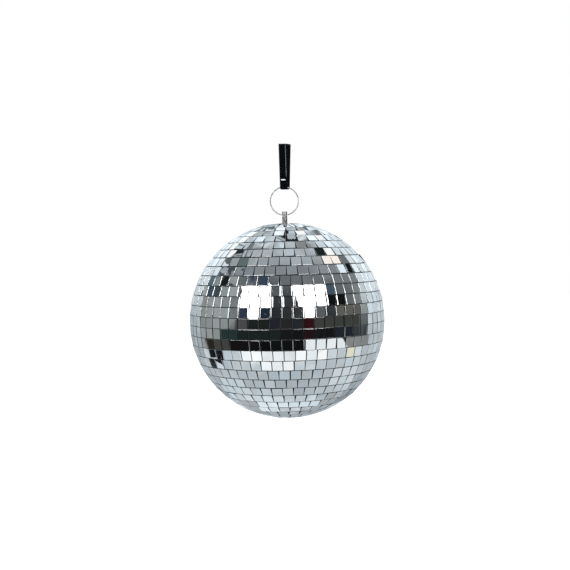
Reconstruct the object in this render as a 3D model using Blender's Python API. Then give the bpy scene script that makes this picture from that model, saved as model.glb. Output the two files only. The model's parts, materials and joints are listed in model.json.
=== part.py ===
"""Mirror ball: a plastic core covered in rows of square mirror tiles, hung from a split ring and a ribbon loop.

The origin is the hanging point, on the inner face of the ribbon at the top of its loop.
+Z points up, the ball hangs below the origin, and the split ring lies in the XZ plane.
"""

import math

import bmesh
import bpy
from mathutils import Vector

# Ball and tiles. The radius is measured to the middle of a tile's face.
BALL_RADIUS = 0.100
ROWS_PER_HALF = 14
ROW_STEP = math.radians(6.0)
TILE_SIZE = 0.010
TILE_DEPTH = 0.0013
TILES_AT_EQUATOR = 60
ROW_STAGGER = 0.382
# Strips round the upper half sit lower than even steps would put them, most of all at the middle of the drift.
STRIP_DRIFT = math.radians(1.0)
DRIFT_MIDDLE = math.radians(22)
DRIFT_REACH = math.radians(60)
POLE_MIRROR_RADIUS = 0.0099
POLE_MIRROR_DEPTH = 0.0011

# Hollow core, moulded in two halves that meet in a lip at the equator.
CORE_RADIUS = 0.0982
CORE_WALL = 0.0020
CORE_SEGMENTS = 32
CORE_ARC_STEPS = 6
LIP_DEPTH = 0.0030
LIP_RADIUS = 0.0970
HALF_SPLIT = 0.00015
GAP = 0.0003

# Hub at the top of the core, measured up from the ball's centre.
SEAT_RADIUS = 0.0102
SEAT_HEIGHT = 0.0956
HUB_UNDERSIDE = 0.0936
HUB_RADIUS = 0.0124
HUB_HOLE_RADIUS = 0.0045

# Swivel post: a round pin with a head inside the ball and a tubular, cross-drilled top.
POST_RADIUS = 0.0026
POST_TOP = BALL_RADIUS + 0.0118
POST_CHAMFER = 0.0003
POST_BORE_RADIUS = 0.0016
POST_BORE_FLOOR = BALL_RADIUS + 0.0040
POST_HEAD_RADIUS = 0.0055
POST_HEAD_BOTTOM = 0.0889
POST_HEAD_TOP = 0.0909
POST_SEGMENTS = 24
CROSS_HOLE_RADIUS = 0.0017
CROSS_HOLE_HEIGHT = BALL_RADIUS + 0.0081
CROSS_HOLE_SEGMENTS = 24

GROOVE_RADIUS = 0.0019
GROOVE_BOTTOM = 0.09675
GROOVE_TOP = 0.09765
CLIP_INNER_RADIUS = 0.0022
CLIP_OUTER_RADIUS = 0.0046
CLIP_BOTTOM = 0.0969
CLIP_TOP = 0.0975
CLIP_OPENING = math.radians(70.0)

WASHER_INNER_RADIUS = 0.0029
WASHER_OUTER_RADIUS = 0.0058
WASHER_DEPTH = 0.0008

BUSH_BORE_RADIUS = POST_RADIUS + 0.0001
BUSH_SLEEVE_RADIUS = HUB_HOLE_RADIUS - GAP
BUSH_SLEEVE_TOP = 0.0963
BUSH_FLANGE_RADIUS = 0.0065
BUSH_FLANGE_DEPTH = 0.0010

CAP_RADIUS = 0.0099
CAP_HOLE_RADIUS = 0.00295
CAP_WALL = 0.0008
CAP_SHOULDER = 0.0982
CAP_RISE = 0.0014
CAP_DOME_STEPS = 4

# Split ring: flat wire wound nearly twice round, its coils side by side along Y.
RING_OUTER_RADIUS = 0.0150
RING_WIRE_RADIAL = 0.0011
RING_WIRE_AXIAL = 0.00095
RING_COIL_SPACING = 0.0011
RING_PATH_RADIUS = RING_OUTER_RADIUS - RING_WIRE_RADIAL / 2
RING_STEPS_PER_TURN = 32
RING_END_ANGLE = math.radians(18.0)
RING_JOG_ANGLE = math.radians(13.0)
RING_EDGE_BEVEL = 0.00025

# Ribbon loop, measured down from the origin.
STRAP_WIDTH = 0.0072
STRAP_DEPTH = 0.0007
STRAP_TOP_HALF = 0.0036
STRAP_BEND_RADIUS = 0.0014
STRAP_FOLD_RADIUS = 0.00245
STRAP_FRONT_TOP_X = -0.0010
STRAP_FRONT_FOLD_X = -0.0006
STRAP_BACK_FOLD_X = 0.0024
STRAP_BACK_TOP_X = 0.0043
STRAP_LEG_STEPS = 6
STRAP_BEND_STEPS = 4
STRAP_FOLD_STEPS = 10

STAPLE_WIDTH = 0.0050
STAPLE_HEIGHT = 0.0014
STAPLE_WIRE = 0.0005
STAPLE_FOOT = 0.0014
STAPLE_ABOVE_FOLD = 0.0071

# Levels of the assembly. The ball's centre is this far below the hanging point.
CENTRE_DROP = BALL_RADIUS + 0.0803
RING_TOP_HEIGHT = CROSS_HOLE_HEIGHT + 2 * RING_PATH_RADIUS

SMOOTH_ANGLE = math.radians(32.0)
FULL_TURN = 2 * math.pi


def clear_scene():
    for item in list(bpy.data.objects):
        bpy.data.objects.remove(item, do_unlink=True)


def make_material(name, color, roughness, metallic):
    material = bpy.data.materials.new(name)
    material.use_nodes = True
    shader = material.node_tree.nodes["Principled BSDF"]
    shader.inputs["Base Color"].default_value = (*color, 1.0)
    shader.inputs["Roughness"].default_value = roughness
    shader.inputs["Metallic"].default_value = metallic
    return material


def make_pivot(name, height):
    """An empty on a joint's axis, at a height above the ball's centre."""
    pivot = bpy.data.objects.new(name, None)
    pivot.location = (0, 0, height - CENTRE_DROP)
    bpy.context.scene.collection.objects.link(pivot)
    return pivot


def add_object(name, mesh_data, material, parent=None, location=(0, 0, 0), smooth=True):
    bmesh.ops.recalc_face_normals(mesh_data, faces=mesh_data.faces)
    mesh = bpy.data.meshes.new(name)
    mesh_data.to_mesh(mesh)
    mesh_data.free()
    if smooth:
        mesh.shade_smooth()
        mesh.set_sharp_from_angle(angle=SMOOTH_ANGLE)
    mesh.materials.append(material)
    item = bpy.data.objects.new(name, mesh)
    bpy.context.scene.collection.objects.link(item)
    item.parent = parent
    item.location = location
    return item


def turned(outline, segments, closed=True, start_angle=0.0):
    """A body of revolution about Z from (radius, height) points. An open outline starts and ends on the axis."""
    body = bmesh.new()
    cos_start = math.cos(start_angle)
    sin_start = math.sin(start_angle)
    points = [body.verts.new((r * cos_start, r * sin_start, z)) for r, z in outline]
    edges = [body.edges.new(pair) for pair in zip(points, points[1:])]
    if closed:
        edges.append(body.edges.new((points[-1], points[0])))
    bmesh.ops.spin(
        body,
        geom=points + edges,
        cent=(0, 0, 0),
        axis=(0, 0, 1),
        angle=FULL_TURN,
        steps=segments,
        use_merge=True,
    )
    bmesh.ops.remove_doubles(body, verts=body.verts, dist=1e-6)
    return body


def lofted(sections, closed):
    """A body through a list of equal sections. An open one gets a flat cap at each end."""
    body = bmesh.new()
    loops = [[body.verts.new(point) for point in section] for section in sections]
    pairs = list(zip(loops, loops[1:]))
    if closed:
        pairs.append((loops[-1], loops[0]))
    for first, second in pairs:
        for i in range(len(first)):
            j = (i + 1) % len(first)
            body.faces.new((first[i], first[j], second[j], second[i]))
    if not closed:
        body.faces.new(loops[0])
        body.faces.new(reversed(loops[-1]))
    return body


def arc(radius, start, end, steps):
    """(radius, height) points on a circle round the ball's centre, from one latitude to another."""
    for i in range(steps + 1):
        latitude = start + (end - start) * i / steps
        yield radius * math.cos(latitude), radius * math.sin(latitude)


def tile_count(latitude):
    return round(TILES_AT_EQUATOR * math.cos(latitude))


def row_latitude(row, side):
    """Latitude of a strip's middle, counted from the equator towards the strip's own pole."""
    even = side * ROW_STEP * (row - 0.5)
    away = min(1, abs(even - DRIFT_MIDDLE) / DRIFT_REACH)
    return side * (even - STRIP_DRIFT * math.cos(away * math.pi / 2) ** 2)


def tile_row(name, row, side, material, parent):
    """One strip of tiles round the ball: a ring with one flat facet to each tile.

    The rim nearer the equator stays inside its circle and the rim nearer the pole stays outside it,
    so neighbouring strips with different counts keep their gap.
    """
    latitude = row_latitude(row, side)
    count = tile_count(latitude)
    corner = 1 / math.cos(math.pi / count)
    half = TILE_SIZE / 2
    outline = []
    for radius in (BALL_RADIUS, BALL_RADIUS - TILE_DEPTH):
        rims = [
            (radius * math.cos(latitude) + half * math.sin(latitude),
             radius * math.sin(latitude) - half * math.cos(latitude)),
            ((radius * math.cos(latitude) - half * math.sin(latitude)) * corner,
             radius * math.sin(latitude) + half * math.cos(latitude)),
        ]
        outline += rims if radius == BALL_RADIUS else reversed(rims)
    outline = [(r, side * z) for r, z in outline]
    stagger = FULL_TURN / count * ROW_STAGGER * row
    add_object(name, turned(outline, count, start_angle=stagger), material, parent, smooth=False)


def pole_mirror(material, parent):
    top = -(BALL_RADIUS - TILE_DEPTH - GAP / 2)
    bottom = top - POLE_MIRROR_DEPTH
    outline = [(0, top), (POLE_MIRROR_RADIUS, top), (POLE_MIRROR_RADIUS, bottom), (0, bottom)]
    add_object("bottom_mirror", turned(outline, 24, closed=False), material, parent)


def core_upper(material, parent):
    inner_radius = CORE_RADIUS - CORE_WALL
    outline = list(arc(CORE_RADIUS, HALF_SPLIT / CORE_RADIUS, math.acos(SEAT_RADIUS / CORE_RADIUS), CORE_ARC_STEPS))
    outline += [
        (SEAT_RADIUS, SEAT_HEIGHT),
        (HUB_HOLE_RADIUS, SEAT_HEIGHT),
        (HUB_HOLE_RADIUS, HUB_UNDERSIDE),
        (HUB_RADIUS, HUB_UNDERSIDE),
    ]
    outline += arc(inner_radius, math.acos(HUB_RADIUS / inner_radius), 0, CORE_ARC_STEPS)
    outline += [(inner_radius, -LIP_DEPTH), (LIP_RADIUS, -LIP_DEPTH), (LIP_RADIUS, HALF_SPLIT)]
    add_object("core_upper", turned(outline, CORE_SEGMENTS), material, parent)


def core_lower(material, parent):
    inner_radius = CORE_RADIUS - CORE_WALL
    step = -LIP_DEPTH - GAP
    outline = list(arc(CORE_RADIUS, -math.pi / 2, -HALF_SPLIT / CORE_RADIUS, CORE_ARC_STEPS))
    outline += [(LIP_RADIUS + GAP, -HALF_SPLIT), (LIP_RADIUS + GAP, step)]
    outline += arc(inner_radius, math.asin(step / inner_radius), -math.pi / 2, CORE_ARC_STEPS)
    outline[0] = (0, -CORE_RADIUS)
    outline[-1] = (0, -inner_radius)
    add_object("core_lower", turned(outline, CORE_SEGMENTS, closed=False), material, parent)


def hub_bush(material, parent):
    flange_top = HUB_UNDERSIDE - GAP
    flange_bottom = flange_top - BUSH_FLANGE_DEPTH
    outline = [
        (BUSH_BORE_RADIUS, flange_bottom),
        (BUSH_FLANGE_RADIUS, flange_bottom),
        (BUSH_FLANGE_RADIUS, flange_top),
        (BUSH_SLEEVE_RADIUS, flange_top),
        (BUSH_SLEEVE_RADIUS, BUSH_SLEEVE_TOP),
        (BUSH_BORE_RADIUS, BUSH_SLEEVE_TOP),
    ]
    add_object("hub_bush", turned(outline, POST_SEGMENTS), material, parent)


def top_cap(material, parent):
    """A shallow domed cover that closes the hole in the tiles round the post."""
    foot = SEAT_HEIGHT + GAP
    span = CAP_RADIUS - CAP_HOLE_RADIUS
    outer = [(CAP_RADIUS, foot)]
    inner = [(CAP_RADIUS - CAP_WALL, foot)]
    for i in range(CAP_DOME_STEPS + 1):
        out = 1 - i / CAP_DOME_STEPS
        height = CAP_SHOULDER + CAP_RISE * (1 - out * out)
        outer.append((CAP_HOLE_RADIUS + span * out, height))
        inner.append((CAP_HOLE_RADIUS + (span - CAP_WALL) * out, height - CAP_WALL))
    add_object("top_cap", turned(outer + inner[::-1], POST_SEGMENTS), material, parent)


def cross_drill(material, parent, location):
    """The cutter for the hole through which the split ring passes, along X."""
    drill = bmesh.new()
    bmesh.ops.create_cone(
        drill,
        cap_ends=True,
        segments=CROSS_HOLE_SEGMENTS,
        radius1=CROSS_HOLE_RADIUS,
        radius2=CROSS_HOLE_RADIUS,
        depth=4 * POST_RADIUS,
    )
    cutter = add_object("post_cross_drill", drill, material, parent, location)
    cutter.rotation_euler = (0, math.pi / 2, 0)
    cutter.hide_render = True
    cutter.display_type = "WIRE"
    return cutter


def hanger_post(material, parent):
    outline = [
        (0, POST_HEAD_BOTTOM),
        (POST_HEAD_RADIUS, POST_HEAD_BOTTOM),
        (POST_HEAD_RADIUS, POST_HEAD_TOP),
        (POST_RADIUS, POST_HEAD_TOP),
        (POST_RADIUS, GROOVE_BOTTOM),
        (GROOVE_RADIUS, GROOVE_BOTTOM),
        (GROOVE_RADIUS, GROOVE_TOP),
        (POST_RADIUS, GROOVE_TOP),
        (POST_RADIUS, POST_TOP - POST_CHAMFER),
        (POST_RADIUS - POST_CHAMFER, POST_TOP),
        (POST_BORE_RADIUS, POST_TOP),
        (POST_BORE_RADIUS, POST_BORE_FLOOR),
        (0, POST_BORE_FLOOR),
    ]
    post = add_object(
        "hanger_post",
        turned(outline, POST_SEGMENTS, closed=False),
        material,
        parent,
        location=(0, 0, -CROSS_HOLE_HEIGHT),
    )
    cut = post.modifiers.new("cross_hole", "BOOLEAN")
    cut.operation = "DIFFERENCE"
    cut.solver = "EXACT"
    cut.object = cross_drill(material, parent, (0, 0, 0))


def thrust_washer(material, parent):
    bottom = POST_HEAD_TOP + GAP
    top = bottom + WASHER_DEPTH
    outline = [
        (WASHER_INNER_RADIUS, bottom),
        (WASHER_OUTER_RADIUS, bottom),
        (WASHER_OUTER_RADIUS, top),
        (WASHER_INNER_RADIUS, top),
    ]
    add_object("thrust_washer", turned(outline, POST_SEGMENTS), material, parent, (0, 0, -CROSS_HOLE_HEIGHT))


def retaining_clip(material, parent):
    """An open snap ring that sits in the groove of the post."""
    steps = 20
    sections = []
    for i in range(steps + 1):
        angle = CLIP_OPENING / 2 + (FULL_TURN - CLIP_OPENING) * i / steps
        outward = Vector((math.cos(angle), math.sin(angle), 0))
        corners = [
            (CLIP_INNER_RADIUS, CLIP_BOTTOM),
            (CLIP_OUTER_RADIUS, CLIP_BOTTOM),
            (CLIP_OUTER_RADIUS, CLIP_TOP),
            (CLIP_INNER_RADIUS, CLIP_TOP),
        ]
        sections.append([outward * r + Vector((0, 0, z)) for r, z in corners])
    add_object("retaining_clip", lofted(sections, False), material, parent, (0, 0, -CROSS_HOLE_HEIGHT))


def wire_section():
    """Corners of the flat wire's section as (radial, axial) offsets, with bevelled edges."""
    a = RING_WIRE_RADIAL / 2
    b = RING_WIRE_AXIAL / 2
    e = RING_EDGE_BEVEL
    quarter = [(a, b - e), (a - e, b)]
    top = quarter + [(-r, s) for r, s in reversed(quarter)]
    return top + [(-r, -s) for r, s in top]


def coil_offset(angle):
    """Where the wire's middle lies along Y at an angle into its winding: it steps across once, halfway."""
    t = (angle - FULL_TURN + RING_JOG_ANGLE) / (2 * RING_JOG_ANGLE)
    t = min(max(t, 0.0), 1.0)
    return RING_COIL_SPACING * (t * t * (3 - 2 * t) - 0.5)


def split_ring(material, parent):
    start = RING_END_ANGLE
    end = 2 * FULL_TURN - RING_END_ANGLE
    steps = round((end - start) / FULL_TURN * RING_STEPS_PER_TURN)
    sections = []
    for i in range(steps + 1):
        angle = start + (end - start) * i / steps
        outward = Vector((math.cos(angle), 0, math.sin(angle)))
        along = Vector((0, 1, 0))
        centre = outward * RING_PATH_RADIUS + along * coil_offset(angle)
        sections.append([centre + outward * r + along * s for r, s in wire_section()])
    add_object("split_ring", lofted(sections, False), material, parent, (0, 0, -RING_PATH_RADIUS))


def strap_path():
    """(x, y, z, normal angle) stations once round the loop, with the outward normal measured from +Z towards +Y."""
    lift = STRAP_DEPTH / 2
    side = STRAP_TOP_HALF + STRAP_BEND_RADIUS
    fold_z = RING_TOP_HEIGHT - CENTRE_DROP
    bend_z = lift - STRAP_BEND_RADIUS
    quarter = math.pi / 2
    stations = []
    for i in range(STRAP_BEND_STEPS + 1):
        a = quarter * i / STRAP_BEND_STEPS
        y = STRAP_TOP_HALF + STRAP_BEND_RADIUS * math.sin(a)
        stations.append((STRAP_BACK_TOP_X, y, bend_z + STRAP_BEND_RADIUS * math.cos(a), a))
    for i in range(1, STRAP_LEG_STEPS):
        t = i / STRAP_LEG_STEPS
        x = STRAP_BACK_TOP_X + (STRAP_BACK_FOLD_X - STRAP_BACK_TOP_X) * t
        stations.append((x, side + (STRAP_FOLD_RADIUS - side) * t, bend_z + (fold_z - bend_z) * t, quarter))
    for i in range(STRAP_FOLD_STEPS + 1):
        t = i / STRAP_FOLD_STEPS
        a = quarter + math.pi * t
        x = STRAP_BACK_FOLD_X + (STRAP_FRONT_FOLD_X - STRAP_BACK_FOLD_X) * t
        stations.append((x, STRAP_FOLD_RADIUS * math.sin(a), fold_z + STRAP_FOLD_RADIUS * math.cos(a), a))
    for i in range(1, STRAP_LEG_STEPS):
        t = i / STRAP_LEG_STEPS
        x = STRAP_FRONT_FOLD_X + (STRAP_FRONT_TOP_X - STRAP_FRONT_FOLD_X) * t
        y = -STRAP_FOLD_RADIUS + (STRAP_FOLD_RADIUS - side) * t
        stations.append((x, y, fold_z + (bend_z - fold_z) * t, -quarter))
    for i in range(STRAP_BEND_STEPS + 1):
        a = -quarter + quarter * i / STRAP_BEND_STEPS
        y = -STRAP_TOP_HALF + STRAP_BEND_RADIUS * math.sin(a)
        stations.append((STRAP_FRONT_TOP_X, y, bend_z + STRAP_BEND_RADIUS * math.cos(a), a))
    return stations


def staple_place():
    """Centre of the staple on the front leg of the ribbon, as (x, y, z)."""
    fold_z = RING_TOP_HEIGHT - CENTRE_DROP
    bend_z = STRAP_DEPTH / 2 - STRAP_BEND_RADIUS
    side = STRAP_TOP_HALF + STRAP_BEND_RADIUS
    t = STAPLE_ABOVE_FOLD / (bend_z - fold_z)
    x = STRAP_FRONT_FOLD_X + (STRAP_FRONT_TOP_X - STRAP_FRONT_FOLD_X) * t
    return x, -STRAP_FOLD_RADIUS + (STRAP_FOLD_RADIUS - side) * t, fold_z + STAPLE_ABOVE_FOLD


def staple_slots(material):
    """The cutter for the two slits in the ribbon that the staple's legs pass through."""
    x, y, z = staple_place()
    slots = bmesh.new()
    size = (STAPLE_WIRE + 2 * GAP, 6 * STRAP_DEPTH, STAPLE_HEIGHT + 2 * GAP)
    for side in (-1, 1):
        box = bmesh.ops.create_cube(slots, size=1.0)["verts"]
        bmesh.ops.scale(slots, vec=size, verts=box)
        middle = (x + side * (STAPLE_WIDTH - STAPLE_WIRE) / 2, y, z)
        bmesh.ops.translate(slots, vec=middle, verts=box)
    cutter = add_object("strap_slots", slots, material)
    cutter.hide_render = True
    cutter.display_type = "WIRE"
    return cutter


def strap(material):
    sections = []
    for x, y, z, angle in strap_path():
        normal = Vector((0, math.sin(angle), math.cos(angle)))
        half_depth = normal * (STRAP_DEPTH / 2)
        half_width = Vector((STRAP_WIDTH / 2, 0, 0))
        middle = Vector((x, y, z))
        sections.append([
            middle - half_width - half_depth,
            middle + half_width - half_depth,
            middle + half_width + half_depth,
            middle - half_width + half_depth,
        ])
    ribbon = add_object("strap", lofted(sections, True), material)
    cut = ribbon.modifiers.new("staple_slits", "BOOLEAN")
    cut.operation = "DIFFERENCE"
    cut.solver = "EXACT"
    cut.object = staple_slots(material)


def strap_staple(material):
    """A flat-wire staple through the ribbon's overlapped ends, its feet clinched inwards behind."""
    x, y, z = staple_place()
    half = STAPLE_WIDTH / 2
    wire = STAPLE_WIRE
    front = -(STRAP_DEPTH / 2 + GAP + wire)
    back = -front
    outline = [
        (-half, front),
        (half, front),
        (half, back),
        (half - wire - STAPLE_FOOT, back),
        (half - wire - STAPLE_FOOT, back - wire),
        (half - wire, back - wire),
        (half - wire, front + wire),
        (-half + wire, front + wire),
        (-half + wire, back - wire),
        (-half + wire + STAPLE_FOOT, back - wire),
        (-half + wire + STAPLE_FOOT, back),
        (-half, back),
    ]
    sections = []
    for level in (-STAPLE_HEIGHT / 2, STAPLE_HEIGHT / 2):
        sections.append([Vector((across, deep, level)) for across, deep in outline])
    add_object("strap_staple", lofted(sections, False), material, location=(x, y, z), smooth=False)


def build():
    clear_scene()
    mirror = make_material("mirror_glass", (0.90, 0.92, 0.94), 0.03, 1.0)
    core = make_material("core_plastic", (0.30, 0.31, 0.33), 0.45, 0.0)
    steel = make_material("nickel_steel", (0.72, 0.69, 0.66), 0.22, 1.0)
    wire = make_material("ring_steel", (0.78, 0.77, 0.76), 0.16, 1.0)
    nylon = make_material("bush_nylon", (0.82, 0.81, 0.77), 0.50, 0.0)
    ribbon = make_material("black_ribbon", (0.012, 0.012, 0.014), 0.30, 0.0)
    bright = make_material("staple_steel", (0.86, 0.86, 0.86), 0.20, 1.0)

    ball_centre = make_pivot("ball_centre", 0)
    post_pivot = make_pivot("post_pivot", CROSS_HOLE_HEIGHT)
    ring_pivot = make_pivot("ring_pivot", RING_TOP_HEIGHT)

    for row in range(1, ROWS_PER_HALF + 1):
        tile_row(f"tile_row_upper_{row:02d}", row, 1, mirror, ball_centre)
        tile_row(f"tile_row_lower_{row:02d}", row, -1, mirror, ball_centre)
    pole_mirror(mirror, ball_centre)
    core_upper(core, ball_centre)
    core_lower(core, ball_centre)
    hub_bush(nylon, ball_centre)
    top_cap(steel, ball_centre)

    hanger_post(steel, post_pivot)
    thrust_washer(steel, post_pivot)
    retaining_clip(steel, post_pivot)
    split_ring(wire, ring_pivot)
    strap(ribbon)
    strap_staple(bright)


build()
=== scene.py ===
"""Looks of the mirror ball: tiles on their backing, hanger, ring and ribbon, in a plain white studio."""

import json
import math
import random

import bmesh
import bpy
from mathutils import Matrix, Vector


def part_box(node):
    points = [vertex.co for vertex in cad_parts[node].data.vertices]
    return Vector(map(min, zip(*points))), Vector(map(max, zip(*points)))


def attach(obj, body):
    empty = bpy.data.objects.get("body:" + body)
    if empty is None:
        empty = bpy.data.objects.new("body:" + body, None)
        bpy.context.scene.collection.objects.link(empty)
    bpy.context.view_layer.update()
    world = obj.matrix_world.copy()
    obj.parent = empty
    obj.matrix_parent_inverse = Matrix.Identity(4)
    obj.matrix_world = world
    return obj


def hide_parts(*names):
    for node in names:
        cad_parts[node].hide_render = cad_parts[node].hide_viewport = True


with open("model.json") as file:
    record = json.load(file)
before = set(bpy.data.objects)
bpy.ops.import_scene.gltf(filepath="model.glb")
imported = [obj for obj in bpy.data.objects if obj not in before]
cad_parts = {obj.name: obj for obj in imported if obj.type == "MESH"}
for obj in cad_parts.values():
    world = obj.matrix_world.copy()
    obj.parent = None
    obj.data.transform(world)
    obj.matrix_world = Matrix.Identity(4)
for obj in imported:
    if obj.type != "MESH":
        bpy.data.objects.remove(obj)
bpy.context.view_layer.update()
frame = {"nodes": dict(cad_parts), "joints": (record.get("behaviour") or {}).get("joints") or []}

# Levels taken from the frame.
JOINTS = {joint["name"]: joint for joint in frame["joints"]}
RING_TOP = Vector(JOINTS["ring_swing"]["pos_m"])
CROSS_HOLE = Vector(JOINTS["post_swing"]["pos_m"])
CENTRE = Vector(JOINTS["ball_spin"]["pos_m"])

# Tiles, in metres. The radius is measured to the middle of a tile's face.
BALL_RADIUS = 0.100
ROWS_PER_HALF = 14
TILE_DEPTH = 0.0013
TILE_HEIGHT = 0.00962
TILE_WIDTH = 0.00970
LOWER_TRIM = 0.00018
LAST_WIDE_LOWER_ROW = 3
TILE_GLASS = 0.0010
TILE_SINK = 0.00012
TILES_AT_EQUATOR = 60
ROW_STAGGER = 0.382
TIGHTEST_GAP = 0.00032

# A tile's cut edges roll off: how far in the roll starts, and how steep it gets halfway and at the border.
SIDE_ROLL_INSET = (0.00004, 0.00028)
WIDE_SIDE_ROLL = (0.00015, 0.00105)
WIDE_ROLL_ROWS = (3, 4, 5, 6)
MIDDLE_SIDE_ROLL = (0.00010, 0.00070)
MIDDLE_ROLL_ROWS = (-3, -2, -1, 1, 2)
ROW_ROLL_INSET = 0.00008
WIDE_ROW_ROLL = 0.00020
SIDE_ROLL_SLOPES = (math.radians(17), math.radians(56))
ROW_ROLL_SLOPES = (math.radians(6), math.radians(30))
ROLL_DEPTHS = (0.00003, 0.00020)

# Small faults of hand-laid tiles, as standard deviations.
TILES_PER_BLOCK = 5
TILT_LIFT = 0.4
BLOCK_TILT = math.radians(0.55)
TILE_TILT = math.radians(0.60)
LOOSE_TILT = math.radians(3.4)
LOOSE_SHARE = 0.07
STEEPEST_TILT = math.radians(4.5)
TILE_WARP = math.radians(0.22)
BENT_WARP = math.radians(1.3)
BENT_SHARE = 0.05
BENT_SHARE_HIGH = 0.34
LAST_FLAT_ROW = 6
TILE_SHIFT = 0.00009
TILE_TURN = math.radians(0.75)

# One tile near the top came away from its strip and stands up in its place.
LIFTED_ROW = 10
LIFTED_LONGITUDE = math.radians(-87)
LIFTED_HEIGHT = 0.0016
LIFTED_TILT = math.radians(9)
LIFTED_SIZE = 0.82
LIFTED_SLIDE = 0.0010

# Woven backing: its thickness, and its groove between two strips.
BACKING_DEPTH = 0.00035
BACKING_GROOVE = 0.00024
HALF_GROOVE = math.radians(0.10)
BACKING_PAST_LAST = math.radians(2.9)

# Cap and post. The groove holds the snap ring, and the marks are left by the turning tool, below the top.
CAP_HOLE = 0.00295
CAP_WALL = 0.0008
POST_SHANK = 0.0026
POST_BORE = 0.0016
POST_BORE_DEPTH = 0.0078
POST_HEAD_DEPTH = 0.0020
POST_MARKS = (0.0088, 0.0094, 0.0100)
GROOVE_RADIUS = 0.0019
GROOVE_LEVELS = (0.09765, 0.09675)
CROSS_HOLE_RADIUS = 0.0017

# Ring wire, ribbon and staple.
WIRE_RADIAL = 0.0011
WIRE_AXIAL = 0.00095
WIRE_ROUNDING = 0.00034
WIRE_END_ANGLE = math.radians(18)
WIRE_JOG_ANGLE = math.radians(13)
WIRE_STEPS = 420
WIRE_TIP = 0.55
RIBBON_WIDTH = 0.0072
RIBBON_DEPTH = 0.0007
RIBBON_TOP_HALF = 0.0036
RIBBON_BEND_RADIUS = 0.0014
RIBBON_FOLD_RADIUS = 0.00245
RIBBON_FRONT_TOP_X = -0.0010
RIBBON_FRONT_FOLD_X = -0.0006
RIBBON_BACK_FOLD_X = 0.0024
RIBBON_BACK_TOP_X = 0.0043
# Faces round the right edge of the band that carry the painted highlight on the front leg.
RIBBON_EDGE_FACES = (10, 16)
RIBBON_BULGE = 0.0006
BULGE_ABOVE_STAPLE = 0.0055
BULGE_REACH = 0.0028
END_WIDTH = 0.0074
END_DEPTH = 0.00045
END_ABOVE_STAPLE = 0.0032
END_ABOVE_FOLD = 0.00012
END_CORNER = 0.0011
END_SHIFT = 0.0003
END_GAP = 0.00004
STAPLE_WIDTH = 0.0052
STAPLE_HEIGHT = 0.0015
STAPLE_WIRE = 0.0005
STAPLE_FRONT = 0.00038
STAPLE_BACK = 0.0003
STAPLE_KINK = 0.00008

FULL_TURN = 2 * math.pi


# ---------- mesh helpers


def link_mesh(name, mesh):
    item = bpy.data.objects.new(name, mesh)
    bpy.context.scene.collection.objects.link(item)
    return item


def written(name, body, material):
    """Turns a bmesh into a mesh with one material, and frees it."""
    mesh = bpy.data.meshes.new(name)
    body.to_mesh(mesh)
    body.free()
    mesh.materials.append(material)
    return mesh


def dress(piece, body, slot, *nodes):
    """Puts a piece on its body and hides the CAD nodes it stands for. The slot argument is not used."""
    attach(piece, body)
    if nodes:
        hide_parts(*nodes)


def repaint(node, material):
    for place in frame["nodes"][node].material_slots:
        place.material = material


def lofted(name, sections, closed, material, sharp=math.radians(35)):
    """A closed body through equal sections. An open one gets a cap at each end."""
    size = len(sections[0])
    verts = [point for section in sections for point in section]
    count = len(sections)
    faces = []
    for i in range(count if closed else count - 1):
        first = i * size
        second = (i + 1) % count * size
        for j in range(size):
            k = (j + 1) % size
            faces.append((first + j, first + k, second + k, second + j))
    if not closed:
        faces.append(tuple(range(size))[::-1])
        faces.append(tuple((count - 1) * size + j for j in range(size)))
    mesh = bpy.data.meshes.new(name)
    mesh.from_pydata([tuple(v) for v in verts], [], faces)
    body = bmesh.new()
    body.from_mesh(mesh)
    bmesh.ops.recalc_face_normals(body, faces=body.faces)
    body.to_mesh(mesh)
    body.free()
    mesh.materials.append(material)
    mesh.shade_smooth()
    mesh.set_sharp_from_angle(angle=sharp)
    return link_mesh(name, mesh)


def turned(name, outline, segments, material, closed=True, sharp=math.radians(35)):
    """A body of revolution about the ball's axis from (radius, height above the ball's centre) points."""
    body = bmesh.new()
    points = [body.verts.new((r, 0, z)) for r, z in outline]
    edges = [body.edges.new(pair) for pair in zip(points, points[1:])]
    if closed:
        edges.append(body.edges.new((points[-1], points[0])))
    profile = points + edges
    bmesh.ops.spin(
        body, geom=profile, cent=(0, 0, 0), axis=(0, 0, 1), angle=FULL_TURN, steps=segments, use_merge=True
    )
    bmesh.ops.remove_doubles(body, verts=body.verts, dist=1e-6)
    bmesh.ops.recalc_face_normals(body, faces=body.faces)
    bmesh.ops.translate(body, vec=CENTRE, verts=body.verts)
    mesh = written(name, body, material)
    mesh.shade_smooth()
    mesh.set_sharp_from_angle(angle=sharp)
    return link_mesh(name, mesh)


# ---------- node helpers


def fill(tree, socket, value):
    """Gives an input a value or another node's output."""
    if isinstance(value, bpy.types.NodeSocket):
        tree.links.new(value, socket)
    else:
        socket.default_value = value


def add_node(tree, kind, settings=None, **inputs):
    """A node with its settings and inputs filled in. i0, i1 and so on name inputs by number."""
    node = tree.nodes.new(kind)
    for key, value in (settings or {}).items():
        setattr(node, key, value)
    for key, value in inputs.items():
        by_number = key[0] == "i" and key[1:].isdigit()
        fill(tree, node.inputs[int(key[1:]) if by_number else key.replace("_", " ")], value)
    return node


def math_node(tree, operation, *values, kind="ShaderNodeMath"):
    node = add_node(tree, kind, {"operation": operation})
    for socket, value in zip(node.inputs, values):
        fill(tree, socket, value)
    return node.outputs[0]


def scaled(tree, value, factor, offset):
    return math_node(tree, "MULTIPLY_ADD", value, factor, offset)


def smooth_step(tree, value, low, high):
    smooth = {"interpolation_type": "SMOOTHSTEP"}
    node = add_node(tree, "ShaderNodeMapRange", smooth, Value=value, From_Min=low, From_Max=high)
    return node.outputs["Result"]


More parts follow.
